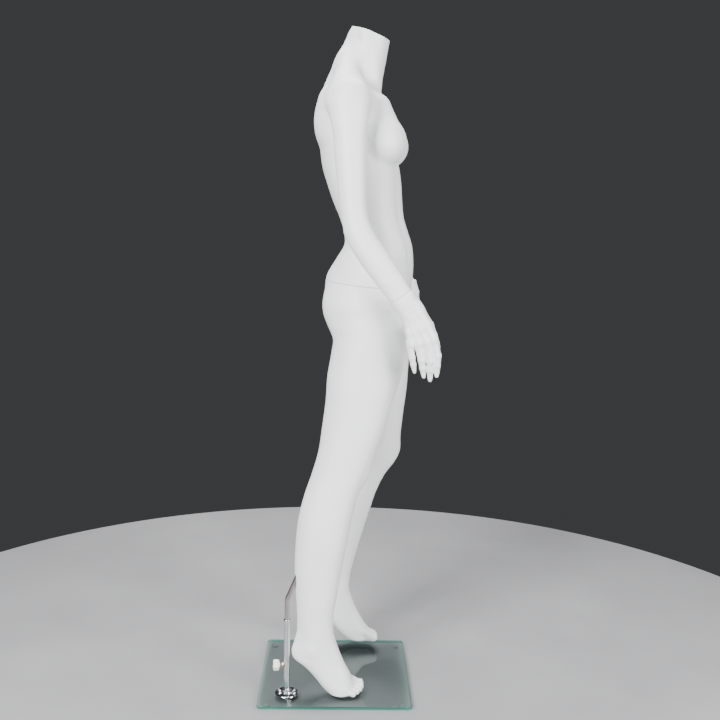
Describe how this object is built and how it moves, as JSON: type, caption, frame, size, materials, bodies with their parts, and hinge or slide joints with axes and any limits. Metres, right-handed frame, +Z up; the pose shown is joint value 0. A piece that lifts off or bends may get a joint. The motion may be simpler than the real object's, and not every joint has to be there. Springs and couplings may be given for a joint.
{
  "type": "full body mannequin",
  "caption": "Headless standing female display mannequin on a square glass base, held by a bent calf rod clamped in a chrome tube; waist, leg, arms and hands come apart at twist locks.",
  "frame": {"origin": "middle of the whole object's footprint, on the floor under the base's feet", "axes": "+Z up, +X the way the toes and the front of the body point, +Y the body's left side"},
  "size_m": [0.4264, 0.466, 1.6447],
  "materials": {
    "skin": "matt white lacquer on a moulded glass-fibre shell",
    "bulkhead": "plain board end plates glued inside the shells",
    "chrome": "bright chrome plate",
    "steel": "zinc-plated turned steel",
    "glass": "clear tempered float glass with ground edges",
    "foot": "clear soft bumper",
    "knob": "off-white moulded plastic"
  },
  "bodies": {
    "base": {"glass_base": "glass", "rear_right_foot": "foot", "front_right_foot": "foot", "front_left_foot": "foot", "rear_left_foot": "foot", "base_flange": "chrome", "flange_bolt_1": "steel", "flange_bolt_2": "steel", "flange_bolt_3": "steel", "flange_bolt_4": "steel", "flange_nut_1": "chrome", "flange_nut_2": "chrome", "flange_nut_3": "chrome", "flange_nut_4": "chrome", "support_tube": "chrome", "clamp_boss_nut": "chrome"},
    "clamp_screw": {"clamp_stud": "steel"},
    "clamp_handle": {"clamp_knob": "knob"},
    "calf_rod": {"calf_rod": "chrome"},
    "lower_body": {"pelvis_and_right_leg_shell": "skin", "calf_socket": "steel", "pelvis_top_bulkhead": "bulkhead", "waist_lock_spigot": "steel", "pelvis_left_hip_bulkhead": "bulkhead", "thigh_lock_socket": "steel"},
    "left_leg": {"left_leg_shell": "skin", "left_thigh_top_bulkhead": "bulkhead", "thigh_lock_spigot": "steel"},
    "torso": {"torso_shell": "skin", "torso_base_bulkhead": "bulkhead", "waist_lock_socket": "steel", "right_torso_shoulder_bulkhead": "bulkhead", "right_shoulder_lock_spigot": "steel", "left_torso_shoulder_bulkhead": "bulkhead", "left_shoulder_lock_spigot": "steel"},
    "right_arm": {"right_arm_shell": "skin", "right_arm_bulkhead": "bulkhead", "right_shoulder_lock_socket": "steel", "right_wrist_bulkhead": "bulkhead", "right_wrist_socket": "steel"},
    "left_arm": {"left_arm_shell": "skin", "left_arm_bulkhead": "bulkhead", "left_shoulder_lock_socket": "steel", "left_wrist_bulkhead": "bulkhead", "left_wrist_socket": "steel"},
    "right_hand": {"right_hand": "skin", "right_wrist_spigot": "steel"},
    "left_hand": {"left_hand": "skin", "left_wrist_spigot": "steel"}
  },
  "joints": [
    {"name": "clamp_screw_travel", "type": "slide", "parent": "base", "child": "clamp_screw", "axis": [-1, 0, 0], "range_m": [0, 0.003]},
    {"name": "clamp_knob_turn", "type": "hinge", "parent": "clamp_screw", "child": "clamp_handle", "pos_m": [-0.14268, -0.13972, 0.085], "axis": [-1, 0, 0], "range_deg": [0, 1080]},
    {"name": "rod_height", "type": "slide", "parent": "base", "child": "calf_rod", "axis": [0, 0, 1], "range_m": [0, 0.08]},
    {"name": "body_lift_off", "type": "slide", "parent": "calf_rod", "child": "lower_body", "axis": [0.3907, 0, 0.9205], "range_m": [0, 0.1]},
    {"name": "left_leg_twist", "type": "hinge", "parent": "lower_body", "child": "left_leg", "pos_m": [0.05482, 0.08536, 0.91154], "axis": [0, 0.4067, -0.9135], "range_deg": [0, 20]},
    {"name": "waist_twist", "type": "hinge", "parent": "lower_body", "child": "torso", "pos_m": [0.04678, 0.0034, 1.0295], "axis": [0.0938, -0.0082, 0.9956], "range_deg": [0, 60]},
    {"name": "right_shoulder_turn", "type": "hinge", "parent": "torso", "child": "right_arm", "pos_m": [-0.00825, -0.13232, 1.458], "axis": [-0.0872, -0.9962, 0], "range_deg": [0, 60]},
    {"name": "left_shoulder_turn", "type": "hinge", "parent": "torso", "child": "left_arm", "pos_m": [0.01615, 0.14662, 1.458], "axis": [-0.0872, -0.9962, 0], "range_deg": [0, 60]},
    {"name": "right_wrist_turn", "type": "hinge", "parent": "right_arm", "child": "right_hand", "pos_m": [0.11732, -0.21156, 1.014], "axis": [-0.5714, 0.05, 0.8192], "range_deg": [0, 60]},
    {"name": "left_wrist_turn", "type": "hinge", "parent": "left_arm", "child": "left_hand", "pos_m": [0.15357, 0.20286, 1.014], "axis": [0.5714, -0.05, -0.8192], "range_deg": [0, 60]}
  ],
  "couplings": [
    {"joint": "clamp_screw_travel", "follows": "clamp_knob_turn", "m_per_rad": 0.00015915}
  ]
}
